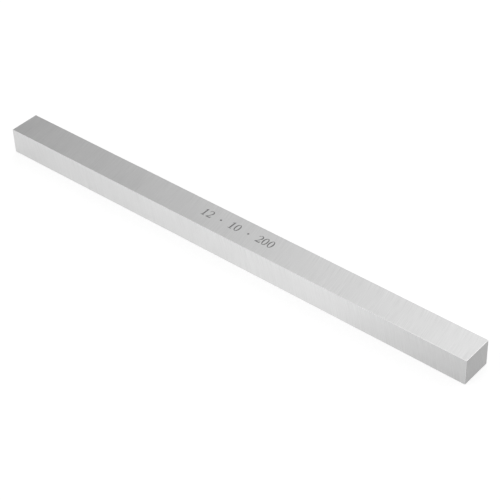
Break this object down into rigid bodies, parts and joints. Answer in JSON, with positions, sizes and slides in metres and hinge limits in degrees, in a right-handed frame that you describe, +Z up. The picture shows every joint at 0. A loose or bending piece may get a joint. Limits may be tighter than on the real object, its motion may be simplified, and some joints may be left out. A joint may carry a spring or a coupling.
{
  "type": "lathe tool bit",
  "caption": "Ground rectangular bar of high-speed steel with lightly broken edges, clamped in a lathe tool holder once a cutting edge is ground on its end.",
  "frame": {"origin": "middle of the wide face that the bar lies on", "axes": "+X along the bar's length, +Y across its width, +Z up from the seat, along the section's shorter side"},
  "size_m": [0.2, 0.012, 0.01],
  "materials": {
    "ground_steel": "fine ground satin"
  },
  "bodies": {
    "root": {"tool_bit": "ground_steel"}
  },
  "joints": []
}
